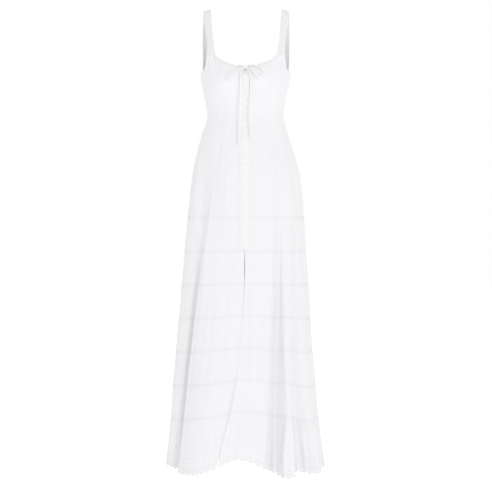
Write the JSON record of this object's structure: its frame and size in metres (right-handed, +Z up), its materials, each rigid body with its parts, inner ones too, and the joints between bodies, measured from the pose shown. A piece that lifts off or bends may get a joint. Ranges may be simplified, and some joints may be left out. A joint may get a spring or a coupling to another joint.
{
  "type": "maxi dress",
  "caption": "Sleeveless white cotton maxi dress in its worn form: fitted buttoned top, wide straps, tied neck cord, tiered skirt with lace insertions, open front slit and scalloped lace hem.",
  "frame": {"origin": "midway between the undersides of the two straps, where the shoulders carry them", "axes": "+Z up along the body, -Y towards the front, +X towards the wearer's left"},
  "size_m": [0.5207, 0.4632, 1.4745],
  "materials": {
    "cotton": "matte",
    "lace": "matte",
    "trim": "satin"
  },
  "bodies": {
    "root": {"centre_front_left": "cotton", "centre_front_right": "cotton", "side_front_left": "cotton", "side_front_right": "cotton", "side_back_left": "cotton", "side_back_right": "cotton", "back": "cotton", "strap_left": "cotton", "strap_right": "cotton", "button_stand": "cotton", "neck_lace_left": "lace", "neck_lace_right": "lace", "neck_lace_back": "lace", "tier_1": "cotton", "tier_2": "cotton", "tier_3": "cotton", "tier_4": "cotton", "tier_5": "cotton", "tier_6": "cotton", "lace_band_1": "lace", "lace_band_2": "lace", "lace_band_3": "lace", "lace_band_4": "lace", "lace_band_5": "lace", "lace_band_6": "lace", "lace_band_7": "lace", "flounce": "cotton", "hem_lace": "lace", "tie_knot": "trim", "tie_loop_left": "trim", "tie_loop_right": "trim", "tie_tail_left": "trim", "tie_tail_right": "trim", "button_01": "trim", "button_02": "trim", "button_03": "trim", "button_04": "trim", "button_05": "trim", "button_06": "trim", "button_07": "trim", "button_08": "trim", "button_09": "trim", "button_10": "trim", "button_11": "trim", "button_12": "trim", "button_13": "trim", "button_14": "trim", "button_15": "trim", "button_16": "trim", "button_17": "trim", "button_18": "trim", "button_19": "trim", "button_20": "trim", "button_21": "trim", "button_22": "trim", "button_23": "trim", "button_24": "trim", "button_25": "trim", "button_26": "trim", "button_27": "trim"}
  },
  "joints": []
}
